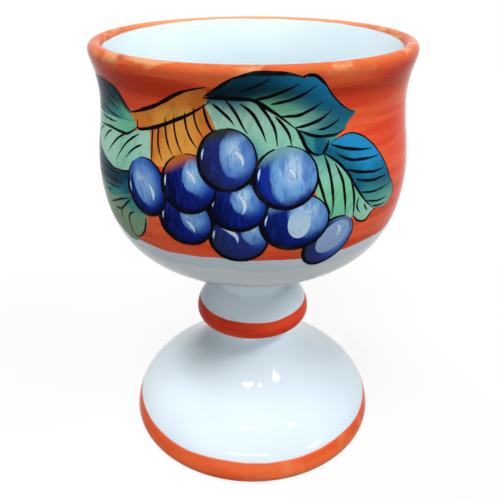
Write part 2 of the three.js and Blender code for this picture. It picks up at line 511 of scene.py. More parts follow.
def orange_body(finish, tones):
    """Orange brushed round the goblet: streaks along the brush, watery runs, thin at the lip."""
    deep, full, thinned = tones
    place = finish.place()
    streaks = finish.noise(finish.stretch(place, (1.0, 1.0, 7.5)), 34.0, 4.0, 0.4)
    broad = finish.noise(finish.stretch(place, (1.0, 1.0, 2.2)), 17.0, 2.0)
    runs = finish.noise(finish.stretch(place, (4.0, 4.0, 0.5)), 30.0, 2.0)
    body = finish.mix(finish.ease(streaks, 0.36, 0.6), deep, full)
    body = finish.mix(finish.ease(broad, 0.6, 0.34, 0.0, 0.5), body, deep)
    thin = finish.times(finish.ease(runs, 0.5, 0.72), finish.ease(broad, 0.45, 0.65), 0.6)
    body = finish.mix(thin, body, thinned)
    strayed = finish.plus(finish.height(), finish.times(streaks, STREAK_STRAY))
    under_lip = finish.times(finish.ease(strayed, *STROKES_LOW), finish.ease(strayed, *STROKES_TOP))
    strokes = finish.times(under_lip, finish.ease(broad, 0.35, 0.6))
    body = finish.mix(strokes, body, finish.mix(1.0, deep, STROKE_TINT, "MULTIPLY"))
    body = finish.mix(finish.ease(strayed, *LIP_THINNED, 0.0, 0.85), body, thinned)
    return worn_lip(finish, body)


def brush_wave(finish):
    """How far the brush strayed from its line, in mm, the same for every height."""
    place = finish.stretch(finish.place(), (1.0, 1.0, 0.0))
    slow = finish.sway(finish.noise(place, 26.0, 1.0), SLOW_STRAY)
    quick = finish.sway(finish.noise(place, 140.0, 2.0), QUICK_STRAY)
    return finish.plus(slow, quick)


def over_lip(finish):
    """How far up the lip a place is, in mm over the edge of its orange, which is thin at the back."""
    edge = finish.ease(finish.parts(finish.place())["Y"], *LIP_TURN, LIP_BAND_LOW, LIP_BAND_BACK)
    slight = finish.plus(finish.height(), finish.times(brush_wave(finish), LIP_STRAY))
    return finish.minus(slight, edge)


def banded_glaze(name, shine, tones):
    """White glaze with the bands of brushed orange, and a paler band of painted reflection under the bowl.
    """
    finish = glazed(name, shine)
    height = finish.height()
    wave = brush_wave(finish)
    strayed = finish.plus(height, wave)
    slight = finish.plus(height, finish.times(wave, BAND_STRAY))
    reach = finish.reach(finish.place())
    outside = finish.past(reach, LIP_CROWN * MM, EDGE_SOFT * MM)
    under_lip = finish.past(height, LIP_FOOT, -LIP_FOOT_SOFT)
    lip = finish.either(outside, under_lip, finish.past(over_lip(finish), 0.0, EDGE_SOFT))
    bowl = finish.times(finish.past(strayed, BOWL_BAND_LOW, EDGE_SOFT), lip)
    knop_low = finish.past(slight, KNOP_BAND_LOW, KNOP_LOW_SOFT)
    knop_top = finish.past(slight, KNOP_BAND_TOP, -KNOP_TOP_SOFT)
    foot = finish.past(slight, FOOT_BAND_TOP, -FOOT_SOFT)
    cover = finish.either(bowl, finish.times(knop_low, knop_top), foot)
    fringe = finish.ease(slight, KNOP_BAND_LOW + FRINGE_HEIGHT, KNOP_BAND_LOW, 0.0, 0.55)
    fringe = finish.times(fringe, finish.ease(slight, *FRINGE_FOOT))
    orange = finish.mix(fringe, orange_body(finish, tones), ORANGE_FRINGE)
    # Painted reflection: a paler white band under the bowl where the glaze would mirror the white foot
    painted_reflection = finish.times(finish.ease(strayed, *PAINTED_REFLECTION_TOP), finish.ease(strayed, *PAINTED_REFLECTION_FOOT))
    white = finish.mix(painted_reflection, white_body(finish, WHITE, WHITE_SHADE), PAINTED_REFLECTION_WHITE)
    return finish.paint(finish.mix(cover, white, orange))


def inside_glaze():
    """White inside the bowl, with the orange of the lip brushed over its edge."""
    finish = glazed("inside_white_glaze", INSIDE_SHINE)
    lip = finish.past(over_lip(finish), 0.0, EDGE_SOFT)
    white = white_body(finish, INSIDE_WHITE, INSIDE_SHADE)
    return finish.paint(finish.mix(lip, white, orange_body(finish, BOWL_ORANGE)))


def hollow_glaze():
    """White under the foot, duller than on the outside."""
    finish = glazed("hollow_white_glaze", WHITE_SHINE, HOLLOW_GLOSS)
    return finish.paint(white_body(finish, WHITE_SHADE, HOLLOW_SHADE))


def bare_clay():
    """Fired earthenware: fine grit, darker where it was wiped."""
    finish = Finish("bare_clay", CLAY_ROUGH, CLAY_SHINE)
    place = finish.place()
    grit = finish.noise(place, 900.0, 4.0)
    wiped = finish.noise(finish.stretch(place, (1.0, 1.0, 4.0)), 60.0, 3.0)
    body = finish.mix(finish.ease(wiped, 0.3, 0.7), CLAY_DARK, CLAY)
    finish.ripple(grit, GRIT_DEPTH)
    return finish.paint(finish.mix(finish.ease(grit, 0.55, 0.75, 0.0, 0.4), body, CLAY_DARK))


def wash_paint():
    """Watery leaf and stalk colour, with brush streaks along the stroke."""
    finish = glazed("wash_paint", PAINT_SHINE)
    brush = finish.attribute("brush")["Vector"]
    streaks = finish.noise(finish.stretch(brush, (1.0, 0.4, 1.0)), 3.4, 1.0, 0.3)
    base = finish.attribute("wash")["Color"]
    dark = finish.mix(1.0, base, STREAK_TINT, "MULTIPLY")
    return finish.paint(finish.mix(finish.ease(streaks, 0.5, 0.34, 0.0, 0.5), base, dark))


def grape_paint():
    """Blue worked round each grape: dark to the left and below, a light to the right, dry brush marks."""
    finish = glazed("grape_paint", PAINT_SHINE)
    disc = finish.attribute("brush")["Vector"]
    right, top = finish.parts(disc)[:2]
    light_right, light_top, light_size = finish.parts(finish.attribute("light")["Vector"])
    hairs = finish.noise(finish.stretch(disc, (2.6, 0.55, 3.0)), 3.2, 4.0, 0.8)
    broad = finish.noise(finish.stretch(disc, (1.3, 0.8, 3.0)), 1.7, 2.0, 0.4)
    stray = finish.sway(hairs, 0.16)
    drift = finish.sway(broad, 0.3)
    across = finish.minus(finish.plus(right, stray), light_right)
    up = finish.minus(finish.plus(top, drift), light_top)

    def away(aside, over):
        """How far from a place in the light, as a share of its size."""
        wide = finish.minus(across, finish.times(light_size, aside))
        high = finish.times(finish.minus(up, finish.times(light_size, over)), 0.82)
        squares = finish.plus(finish.times(wide, wide), finish.times(high, high))
        return finish.math("DIVIDE", finish.math("SQRT", squares), light_size)

    side = finish.plus(finish.times(right, 0.9), finish.times(top, 0.35), stray)
    under_paint = finish.attribute("wash")
    hue = under_paint["Alpha"]
    blue = finish.mix(finish.ease(side, -0.75, -0.1), GRAPE_NIGHT, GRAPE_DEEP)
    blue = finish.mix(finish.ease(hue, 0.5, 0.0, 0.0, 0.9), blue, GRAPE_ROYAL)
    blue = finish.mix(finish.ease(hairs, 0.48, 0.7, 0.0, 0.5), blue, GRAPE_ROYAL)
    blue = finish.mix(finish.ease(side, 0.1, 0.75, 0.0, 0.9), blue, GRAPE_ROYAL)
    glow = finish.mix(finish.ease(away(-0.3, 0.15), 0.1, 0.6), GRAPE_PALE, GRAPE_LIGHT)
    glow = finish.mix(finish.ease(away(-0.35, 0.2), 0.6, 1.3), glow, GRAPE_MID)
    glow = finish.mix(finish.ease(hairs, 0.5, 0.64, 0.0, 0.6), glow, GRAPE_MID)
    glow = finish.mix(finish.ease(broad, 0.48, 0.66, 0.0, 0.6), glow, GRAPE_MID)
    left = finish.ease(finish.math("DIVIDE", across, light_size), 0.2, -0.5)
    sharp = finish.ease(away(0.0, 0.0), 1.08, 0.92)
    soft = finish.ease(away(0.0, 0.0), 1.3, 0.6)
    tone = finish.mix(soft, blue, glow)
    tone = finish.mix(left, tone, finish.mix(sharp, blue, glow))
    low = finish.plus(finish.times(top, -0.85), finish.times(right, 0.4), drift)
    tone = finish.mix(finish.ease(low, 0.5, 0.85, 0.0, 0.9), tone, GRAPE_DEEP)
    edge = finish.ease(finish.plus(finish.reach(disc), drift), 0.72, 1.02)
    edge = finish.times(edge, finish.ease(side, 0.7, -0.1, 0.25, 1.0))
    tone = finish.mix(edge, tone, GRAPE_NIGHT)
    tone = finish.mix(finish.ease(hue, 0.5, 1.0), tone, GRAPE_GREY)
    cap = finish.plus(finish.times(right, -0.3), top, stray)
    tone = finish.mix(finish.ease(cap, 0.5, 0.95, 0.0, 0.9), tone, under_paint["Color"])
    return finish.paint(tone)


def light_paint():
    """Pale touches on the grapes, thin enough at their edges for the blue to show."""
    finish = glazed("light_paint", PAINT_SHINE)
    brush = finish.parts(finish.attribute("brush")["Vector"])
    side = finish.math("ABSOLUTE", brush["Y"])
    end = finish.math("ABSOLUTE", brush["X"])
    grain = finish.ease(finish.noise(finish.place(), 900.0, 2.0), 0.2, 0.5, 0.6, 1.0)
    body = finish.times(finish.ease(side, 1.0, 0.35), finish.ease(end, 1.0, 0.6), grain)
    return finish.paint(finish.mix(body, GRAPE_LIGHT, finish.attribute("wash")["Color"]))


def ink_paint():
    """Black brush lines, a little thinner where the brush ran dry."""
    finish = glazed("ink_paint", PAINT_SHINE)
    dry = finish.noise(finish.place(), 260.0, 3.0)
    return finish.paint(finish.mix(finish.ease(dry, 0.55, 0.75, 0.0, 0.7), INK, INK_THIN))


# Coats of glaze
clay = clay_points()
skin_line = []
coat_ends = [0]
coat_from = (0.0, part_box("inside_glaze")[0].z / MM + GLAZE)
for coat in OUTER_COATS:
    coat_line = skin(coat, coat_from, clay)
    if coat == "bowl_band":
        coat_line = round_lip(coat_line)
    skin_line += coat_line[1:] if skin_line else coat_line
    coat_ends.append(len(skin_line) - 1)
    coat_from = skin_line[-1]
dense, places, bends = smooth_line(skin_line, SKIN_STEP, CREASE_ANGLE)
corners = [places[i] for i in bends if 0 < i < len(skin_line) - 1]
dense = fill_creases(dense, corners)
out = outward(dense)
out[0] = (0.0, 1.0)


def coat_start(name):
    """Where a coat starts on the dense line."""
    return places[coat_ends[OUTER_COATS.index(name)]]


def coat_loop(line, away):
    """The closed outline of a coat: its outer line and, GLAZE under it, its inner one."""
    return [*line, *(line - GLAZE * away)[::-1]]


coat_finishes = {
    "inside_glaze": (inside_glaze(), "white_glaze"),
    "bowl_band": (banded_glaze("bowl_orange_glaze", ORANGE_SHINE, BOWL_ORANGE), "orange_glaze"),
    "waist_glaze": (banded_glaze("waist_white_glaze", WAIST_SHINE, BOWL_ORANGE), "white_glaze"),
    "knop_band": (banded_glaze("knop_orange_glaze", ORANGE_SHINE, KNOP_ORANGE), "orange_glaze"),
    "foot_glaze": (banded_glaze("foot_white_glaze", WHITE_SHINE, FOOT_ORANGE), "white_glaze"),
    "foot_band": (banded_glaze("foot_orange_glaze", ORANGE_SHINE, FOOT_ORANGE), "orange_glaze"),
}
for coat, start, end in zip(OUTER_COATS, coat_ends, coat_ends[1:]):
    stretch = slice(places[start], places[end] + 1)
    loop = coat_loop(dense[stretch], out[stretch])
    mesh = spun(coat + "_smooth", loop, axial=coat == "inside_glaze")
    piece(coat + "_smooth", mesh, *coat_finishes[coat], coat)

hollow_from = (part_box("hollow_glaze")[1].x / MM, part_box("hollow_glaze")[0].z / MM)
hollow_line = smooth_line(skin("hollow_glaze", hollow_from, clay), SKIN_STEP)[0]
hollow_out = outward(hollow_line)
hollow_mesh = spun("hollow_glaze_smooth", coat_loop(hollow_line, hollow_out))
piece("hollow_glaze_smooth", hollow_mesh, hollow_glaze(), "white_glaze", "hollow_glaze")

# Clay under the coats
earthenware = bare_clay()
clay_line = dense - GLAZE * out
lip_top = int(np.argmax(dense[:, 1]))
stem_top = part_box("bowl")[0].z / MM
bowl_end = lip_top + int(np.argmax(dense[lip_top:, 1] < stem_top + SLACK))
bowl_loop = [*clay_line[:bowl_end + 1], (0.0, stem_top)]
piece("bowl_smooth", spun("bowl_smooth", bowl_loop, axial=True), earthenware, "clay", "bowl")

foot_wire = meridian("foot")
ring_edge = max((v for v in foot_wire.verts if v.co.z < WELD), key=lambda v: -v.co.y)
foot_line = walk(foot_wire, ring_edge)
foot_wire.free()
if foot_line[1][1] < BARE_HEIGHT / 2:
    foot_line = [foot_line[0], *foot_line[:0:-1]]
neck_top = next(i for i, (_, z) in enumerate(foot_line) if z > NECK_FOOT)
foot_skin = [tuple(p) for p in clay_line[coat_start("foot_glaze"):] if p[1] < NECK_FOOT]
hollow_clay = hollow_line - GLAZE * hollow_out
hollow_roof = hollow_line[-1][1] + SLACK
hollow_top = next(i for i in range(neck_top, len(foot_line)) if foot_line[i][1] < hollow_roof)
neck = foot_line[neck_top:hollow_top]
foot_loop = [foot_line[0], *foot_skin[::-1], *neck, *hollow_clay[::-1], foot_line[-1]]
piece("foot_smooth", spun("foot_smooth", foot_loop), earthenware, "clay", "foot")

for node in CLAY_NODES:
    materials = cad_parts[node].data.materials
    materials.clear()
    materials.append(earthenware)


# Paint on the bowl: u mm round the belly from the front, v mm up, lift mm off the glaze
PAINT_LOW = 66.0
waist_end = coat_start("knop_band")
paint_end = lip_top + int(np.argmax(dense[lip_top:waist_end, 1] < PAINT_LOW))
SIDE_HEIGHTS = dense[lip_top:paint_end, 1][::-1]
SIDE_RADII = dense[lip_top:paint_end, 0][::-1]
SIDE_OUT = out[lip_top:paint_end][::-1]
BELLY = float(SIDE_RADII.max())
SUNK = 0.05
BACK = math.pi * BELLY
SEED_STEP = 1.37
FILM_SHARP = 40
FILM_STEP = 0.7
PATH_STEP = 0.4
NO_LIGHT = (0, 0, 1)
STROKE_ROWS = 2
STROKE_COLUMNS = 6
STROKE_ENDS = (0.18, 0.36)
STROKE_START = 0.3
STROKE_END = 0.22
STROKE_TREMBLE = 0.35
STROKE_SHAKES = (0.35, 0.5)
WASH_ROWS = 18
WASH_TREMBLE = 0.25
WASH_SHAKES = 0.4
WASH_DRIFT = 0.025
WASH_BRUSH = (8, 1.6)
DAB_SPREAD = 0.095
DAB_WIDE = 0.45
DAB_LEAST = 1e-9


def on_bowl(u, v, lift):
    """A place in paint space, on the bowl."""
    angle = u / BELLY
    radius = np.interp(v, SIDE_HEIGHTS, SIDE_RADII)
    away = np.interp(v, SIDE_HEIGHTS, SIDE_OUT[:, 0])
    rise = np.interp(v, SIDE_HEIGHTS, SIDE_OUT[:, 1])
    reach = (radius + away * lift) * MM
    return Vector((reach * math.sin(angle), -reach * math.cos(angle), (v + rise * lift) * MM))


class Film:
    """Thin films of paint on the bowl, gathered in one mesh."""

    def __init__(self):
        self.mesh = bmesh.new()
        layers = self.mesh.verts.layers
        self.wash = layers.float_color.new("wash")
        self.brush = layers.float_vector.new("brush")
        self.light = layers.float_vector.new("light")
        self.seed = 0.0

    def lay(self, columns, rows, spread, lift, colour, light=NO_LIGHT):
        """One film: spread turns a place on a square into paint space, and into its brush value."""
        self.seed += SEED_STEP
        for turn in (0.0, BACK):
            first = len(self.mesh.verts)
            made = bmesh.ops.create_grid(self.mesh, x_segments=columns, y_segments=rows, size=1)
            faces = list({f for v in made["verts"] for f in v.link_faces})
            bmesh.ops.solidify(self.mesh, geom=faces, thickness=1)
            fresh = self.mesh.verts[:][first:]
            middle = sum(v.co.z for v in fresh) / len(fresh)
            for vert in fresh:
                along, across, depth = vert.co
                u, v, brush = spread(along, across)
                vert[self.brush] = (*brush, self.seed)
                vert[self.wash] = colour(along, across)
                vert[self.light] = light
                vert.co = on_bowl(u + turn, v, lift if depth > middle else -SUNK)

    def finish(self, name, material, slot):
        piece(name, smooth_mesh(name, self.mesh, FILM_SHARP), material, slot)


class Path:
    """A smooth path through points in paint space, by share of its length."""

    def __init__(self, points):
        self.line = smooth_line(points, PATH_STEP)[0]
        spans = np.linalg.norm(np.diff(self.line, axis=0), axis=1)
        self.shares = np.concatenate([[0.0], np.cumsum(spans)])
        self.length = float(self.shares[-1])
        self.shares /= self.length
        self.runs = np.gradient(self.line, axis=0)
        self.runs /= np.linalg.norm(self.runs, axis=1)[:, None]

    def at(self, share):
        return np.array([np.interp(share, self.shares, self.line[:, k]) for k in (0, 1)])

    def run(self, share):
        return np.array([np.interp(share, self.shares, self.runs[:, k]) for k in (0, 1)])


def stroke(film, points, width, lift, colour=INK, ends=STROKE_ENDS):
    """A brush line: it swells after its start and thins towards its end, and its edges tremble."""
    path = Path(points)
    seed = film.seed

    def spread(along, across):
        share = (along + 1) / 2
        swelled = STROKE_START + (1 - STROKE_START) * share / ends[0]
        thinned = STROKE_END + (1 - STROKE_END) * (1 - share) / ends[1]
        place = (share * path.length * STROKE_SHAKES[0], across * STROKE_SHAKES[1], seed)
        shake = noise.noise(Vector(place))
        half = width / 2 * min(1.0, swelled, thinned) * (1 + STROKE_TREMBLE * shake)
        spot = path.at(share)
        run = path.run(share)
        return spot[0] - run[1] * half * across, spot[1] + run[0] * half * across, (along, across)

    columns = max(STROKE_COLUMNS, int(path.length / FILM_STEP))
    film.lay(columns, STROKE_ROWS, spread, lift, lambda along, across: colour)


def blend(dabs, s, t):
    """The colour of a wet wash at a share along and across it: dabs of colour that ran into each other."""
    total = 0.0
    mixed = [0.0, 0.0, 0.0, 0.0]
    for dab_s, dab_t, colour in dabs:
        apart = (s - dab_s) ** 2 + (DAB_WIDE * (t - dab_t)) ** 2
        pull = math.exp(-apart / (2 * DAB_SPREAD ** 2)) + DAB_LEAST
        total += pull
        mixed = [m + pull * c for m, c in zip(mixed, colour)]
    return [m / total for m in mixed]


def wash(film, rib, edge, dabs, lift):
    """A wash of colour between two lines, such as half a leaf between its midrib and its edge."""
    near = Path(rib)
    far = Path(edge)
    seed = film.seed

    def spread(along, across):
        s = (along + 1) / 2
        t = (across + 1) / 2
        spot = near.at(s) * (1 - t) + far.at(s) * t
        shake = noise.noise(Vector((s * far.length * WASH_SHAKES, seed, 0.0))) * WASH_TREMBLE * t
        return spot[0] + shake, spot[1] + shake, (s * far.length / WASH_BRUSH[0], t * WASH_BRUSH[1])

    def colour(along, across):
        s = (along + 1) / 2
        t = (across + 1) / 2
        drift = WASH_DRIFT * noise.noise(Vector((4 * s, 2 * t, seed)))
        return blend(dabs, s + drift, t + 2 * drift)

    film.lay(int(max(near.length, far.length) / FILM_STEP), WASH_ROWS, spread, lift, colour)


# The sprig: washes of the leaves and the stalk
TOP_RIB = [(-12.7, 133.6), (-6.2, 133.8), (0.5, 133.2), (4.0, 131.2), (7.5, 128.8), (11.1, 126.0)]
TOP_EDGE = [(-12.4, 134.0), (-9.0, 136.2), (-6.7, 137.7), (-4.6, 138.8), (-2.2, 139.8), (0.5, 140.2),
            (5.8, 140.2), (9.9, 139.7), (12.6, 138.8), (15.1, 139.3), (17.2, 137.8), (21.8, 132.9),
            (26.2, 129.7), (29.1, 128.4), (26.9, 126.2), (26.0, 124.6), (20.6, 123.3), (15.7, 124.0),
            (12.4, 125.4)]
TOP_LOW_RIB = [(-12.9, 133.4), *TOP_RIB[1:], (12.9, 123.8), (14.4, 120.8)]
TOP_LOW_EDGE = [(-13.0, 130.6), (-11.8, 127.6), (-9.7, 125.4), (-7.9, 124.0), (-2.0, 119.0), (4.0, 116.0),
                (10.0, 116.5), (14.6, 120.0)]
TOP_LOW_DABS = [
    (0.04, 0.0, DEEP_TEAL), (0.24, 0.0, TEAL), (0.08, 0.6, PALE_MINT), (0.3, 0.5, PALE_MINT),
    (0.48, 0.95, SEA_GREEN), (0.5, 0.2, PALE_MINT), (0.66, 0.5, MINT), (0.86, 0.4, MINT),
    (1.0, 0.6, LEAF_GREEN),
]
TOP_DABS = [
    (0.06, 0.4, NIGHT_TEAL), (0.26, 0.2, NIGHT_TEAL), (0.2, 0.75, DEEP_TEAL), (0.33, 0.9, DEEP_TEAL),
    (0.48, 1.0, SEA_BLUE), (0.44, 0.3, DEEP_TEAL), (0.6, 0.7, TEAL), (0.62, 0.1, LEAF_GREEN),
    (0.74, 0.75, TEAL), (0.82, 0.3, MINT), (0.93, 0.9, SEA_GREEN), (0.96, 0.2, MINT),
]

RIGHT_RIB = [(19.0, 119.2), (23.8, 116.0), (26.5, 113.1), (28.7, 110.0), (31.9, 105.5), (35.1, 102.2),
             (37.8, 100.1)]
RIGHT_EDGE = [(20.6, 120.6), (24.4, 122.6), (27.7, 123.2), (32.1, 121.9), (36.3, 119.1), (40.1, 115.4),
              (43.4, 110.8), (45.4, 107.3), (47.3, 104.7), (47.6, 102.0), (45.1, 99.6), (39.5, 99.9)]
RIGHT_LOW_EDGE = [(14.6, 119.0), (15.6, 114.1), (17.8, 106.6), (21.4, 101.3), (26.0, 97.5), (29.5, 100.1),
                  (31.8, 97.9), (34.7, 97.3), (37.2, 99.5)]
RIGHT_LOW_DABS = [
    (0.05, 0.4, SEA_GREEN), (0.2, 0.5, MINT), (0.4, 0.75, LEAF_GREEN), (0.55, 0.3, LEAF_GREEN),
    (0.75, 0.6, MINT), (1.0, 0.5, PALE_MINT),
]
RIGHT_DABS = [
    (0.06, 0.3, TEAL), (0.2, 0.8, SEA_BLUE), (0.42, 0.6, SEA_BLUE), (0.45, 0.05, TEAL), (0.64, 0.6, TEAL),
    (0.78, 0.4, SEA_GREEN), (0.9, 0.6, MINT), (1.0, 0.4, MINT),
]
FOLD_TOP = [(12.0, 125.6), (15.7, 124.2), (20.6, 123.6), (24.4, 123.9)]
FOLD_LOW = [(14.5, 119.4), (16.5, 118.4), (19.0, 118.6), (22.6, 121.6)]
FOLD_DABS = [(0.1, 0.4, SEA_GREEN), (0.5, 0.7, TEAL), (0.9, 0.4, SEA_GREEN)]

LEFT_TOP_RIB = [(-35.6, 124.6), (-46.0, 124.0), (-58.0, 123.4), (-70.0, 124.0), (-78.0, 126.0)]
LEFT_TOP_EDGE = [(-37.4, 127.0), (-39.8, 129.0), (-42.8, 132.1), (-49.1, 133.7), (-60.0, 133.4),
                 (-70.0, 130.6), (-78.0, 126.4)]
LEFT_FOLD = [(-35.1, 123.4), (-37.2, 121.9), (-40.7, 120.7), (-46.5, 120.7), (-60.0, 119.4), (-70.0, 121.4),
             (-78.0, 125.6)]
LEFT_MID_RIB = [(-29.6, 124.2), (-35.0, 122.6), (-40.7, 121.0), (-46.5, 121.0), (-60.0, 119.6),
                (-66.0, 118.4)]
LEFT_MID_EDGE = [(-29.6, 115.4), (-34.0, 112.4), (-39.5, 110.5), (-44.0, 109.4), (-50.0, 110.6),
                 (-58.0, 112.6), (-66.0, 117.4)]
LEFT_DARK_EDGE = [(-38.5, 104.0), (-43.0, 102.6), (-49.0, 100.6), (-56.0, 101.0), (-63.0, 106.0),
                  (-66.0, 113.0)]
LEFT_LOW_RIB = [(-36.0, 104.5), (-40.0, 103.4), (-46.0, 101.6), (-54.0, 100.6), (-62.0, 101.0)]
LEFT_LOW_EDGE = [(-31.6, 99.0), (-32.6, 95.4), (-36.5, 91.2), (-41.0, 87.8), (-46.5, 88.0), (-53.0, 91.0),
                 (-60.0, 96.0), (-62.6, 100.0)]
LEFT_LOW_DABS = [(0.08, 0.1, SEA_GREEN), (0.3, 0.6, SAGE), (0.7, 0.5, SAGE), (1.0, 0.5, SAGE)]
LEFT_DARK_DABS = [
    (0.05, 0.4, TEAL), (0.3, 0.2, DEEP_TEAL), (0.35, 1.0, SEA_GREEN), (0.7, 0.3, DEEP_TEAL),
    (1.0, 0.5, TEAL),
]
LEFT_MID_DABS = [(0.04, 0.4, PALE_MINT), (0.3, 0.5, MINT), (0.55, 0.4, PALE_MINT), (1.0, 0.5, MINT)]
LEFT_FOLD_DABS = [(0.05, 0.5, LEAF_GREEN), (0.4, 0.5, MINT), (1.0, 0.5, MINT)]
LEFT_TOP_DABS = [
    (0.02, 0.3, LEAF_GREEN), (0.12, 0.9, DEEP_TEAL), (0.2, 0.1, SEA_GREEN), (0.36, 0.6, DEEP_TEAL),
    (0.6, 0.5, DEEP_TEAL), (1.0, 0.5, TEAL),
]

STALK_TOP = [(-37.6, 127.0), (-30.6, 129.1), (-24.3, 131.7), (-17.8, 134.9), (-11.6, 136.4)]
STALK_LOW = [(-35.1, 123.8), (-28.6, 124.6), (-21.8, 127.0), (-15.7, 129.8), (-11.4, 133.4)]
FAN_TOP = [(-30.0, 124.8), (-26.0, 125.8), (-21.8, 127.4), (-15.7, 130.2), (-12.6, 132.4)]
FAN_LOW = [(-29.8, 114.6), (-25.5, 114.5), (-20.0, 116.0), (-14.0, 119.4), (-8.6, 123.6)]
FAN_DABS = [
    (0.1, 0.3, STALK_ORANGE), (0.3, 0.7, STALK_YELLOW), (0.6, 0.4, STALK_YELLOW), (0.9, 0.6, STALK_ORANGE),
]
STALK_DABS = [
    (0.1, 0.5, STALK_ORANGE), (0.5, 0.7, STALK_YELLOW), (0.65, 0.2, STALK_ORANGE), (1.0, 0.5, STALK_SHADE),
]

BUNCH_TOP = [(-24.5, 107.0), (-18.0, 109.0), (-11.0, 112.0), (-3.0, 113.0), (2.5, 112.0), (6.0, 108.0)]
BUNCH_LOW = [(-24.0, 103.0), (-18.0, 101.0), (-10.5, 98.0), (-4.0, 99.0), (3.5, 97.5), (8.0, 103.0)]
BUNCH_DABS = [(0.5, 0.5, GRAPE_NIGHT)]

# The washes in the order they are laid, with the lift of each
WASHES = [
    (TOP_LOW_RIB, TOP_LOW_EDGE, TOP_LOW_DABS, 0.02),
    (TOP_RIB, TOP_EDGE, TOP_DABS, 0.028),
    (RIGHT_RIB, RIGHT_LOW_EDGE, RIGHT_LOW_DABS, 0.02),
    (RIGHT_RIB, RIGHT_EDGE, RIGHT_DABS, 0.028),
    (FOLD_TOP, FOLD_LOW, FOLD_DABS, 0.024),
    (LEFT_LOW_RIB, LEFT_LOW_EDGE, LEFT_LOW_DABS, 0.02),
    (LEFT_MID_EDGE, LEFT_DARK_EDGE, LEFT_DARK_DABS, 0.024),
    (LEFT_MID_RIB, LEFT_MID_EDGE, LEFT_MID_DABS, 0.028),
    (LEFT_TOP_RIB, LEFT_FOLD, LEFT_FOLD_DABS, 0.032),
    (LEFT_TOP_RIB, LEFT_TOP_EDGE, LEFT_TOP_DABS, 0.036),
    (FAN_TOP, FAN_LOW, FAN_DABS, 0.034),
    (STALK_TOP, STALK_LOW, STALK_DABS, 0.042),
    (BUNCH_TOP, BUNCH_LOW, BUNCH_DABS, 0.05),
]
leaves = Film()
for row in WASHES:
    wash(leaves, *row)
leaves.finish("leaf_washes", wash_paint(), "orange_glaze")

# Brush lines of the leaves and the stalk
INK_LIFT = 0.055
ink = Film()
BOLD = 1.0
PLAIN = 0.82
FINE = 0.6
HAIR = 0.4

BOLD_LINES = [
    STALK_TOP,
    [(-34.6, 125.4), (-34.9, 123.8), (-28.6, 124.4), (-21.8, 127.0), (-15.7, 129.8), (-10.9, 132.9)],
    TOP_RIB,
    [(11.1, 126.2), (12.9, 123.8), (14.4, 120.8), (16.2, 119.2), (18.8, 118.8)],
    [(-4.6, 138.8), (-2.2, 139.6), (0.5, 140.0), (5.8, 140.0), (9.9, 139.5), (12.6, 138.7)],
    [(18.8, 118.8), (20.2, 120.4), (20.8, 122.2)],
]
PLAIN_LINES = [
    [(-12.4, 134.0), (-9.0, 136.2), (-6.7, 137.7), (-4.2, 139.3)],
    [(12.0, 139.0), (15.1, 139.2), (17.2, 137.7), (19.5, 135.4)],
    [(-10.0, 134.6), (-6.0, 133.9), (-1.2, 133.3)],
    [(-7.0, 133.4), (-4.2, 129.7), (-2.1, 125.9), (-1.4, 125.0)],
    [(-10.5, 132.4), (-8.0, 130.4), (-5.9, 128.4), (-4.9, 127.1)],
    [(-3.3, 132.5), (-0.3, 130.2), (1.8, 126.9), (3.5, 122.8)],
    [(0.5, 133.0), (3.3, 130.2), (5.7, 125.9), (6.4, 121.6)],
    [(5.7, 129.2), (7.9, 127.0), (9.5, 124.5), (10.2, 121.6)],
    [(-0.7, 133.3), (3.0, 134.1), (7.3, 135.5), (11.4, 137.4)],
    [(4.5, 132.4), (8.0, 133.0), (12.2, 134.4), (15.8, 136.8)],
    [(7.0, 129.2), (10.9, 129.2), (14.9, 130.4), (18.2, 132.4)],
    [(11.1, 126.2), (15.2, 126.8), (18.5, 128.0), (21.2, 130.1)],
    [(12.4, 125.5), (15.7, 124.0), (20.6, 123.3), (23.8, 123.6), (26.0, 124.6)],
    RIGHT_RIB,
    [(21.5, 121.1), (26.1, 119.4), (30.7, 118.4), (36.3, 117.7)],
    [(23.4, 118.4), (27.8, 116.3), (33.4, 115.4), (39.2, 115.3)],
    [(25.9, 113.9), (31.2, 112.3), (36.5, 111.3), (41.9, 111.2)],
    [(29.6, 110.7), (33.1, 109.5), (37.9, 108.8), (42.9, 108.8)],
    [(19.4, 118.8), (21.1, 113.9), (22.0, 108.4), (22.1, 102.3)],
    [(22.8, 115.9), (24.9, 111.7), (25.9, 106.3), (26.4, 100.4)],
    [(27.6, 112.7), (28.8, 107.7), (29.3, 99.7)],
    [(15.3, 119.0), (17.2, 114.1), (19.6, 106.6), (22.2, 101.3)],
    [(-12.8, 132.1), (-12.3, 128.6), (-10.5, 125.2), (-7.9, 123.9)],
    LEFT_FOLD[:5],
    [(-37.6, 127.2), (-39.8, 129.0), (-42.8, 132.1), (-49.1, 133.6), (-58.0, 133.4)],
]
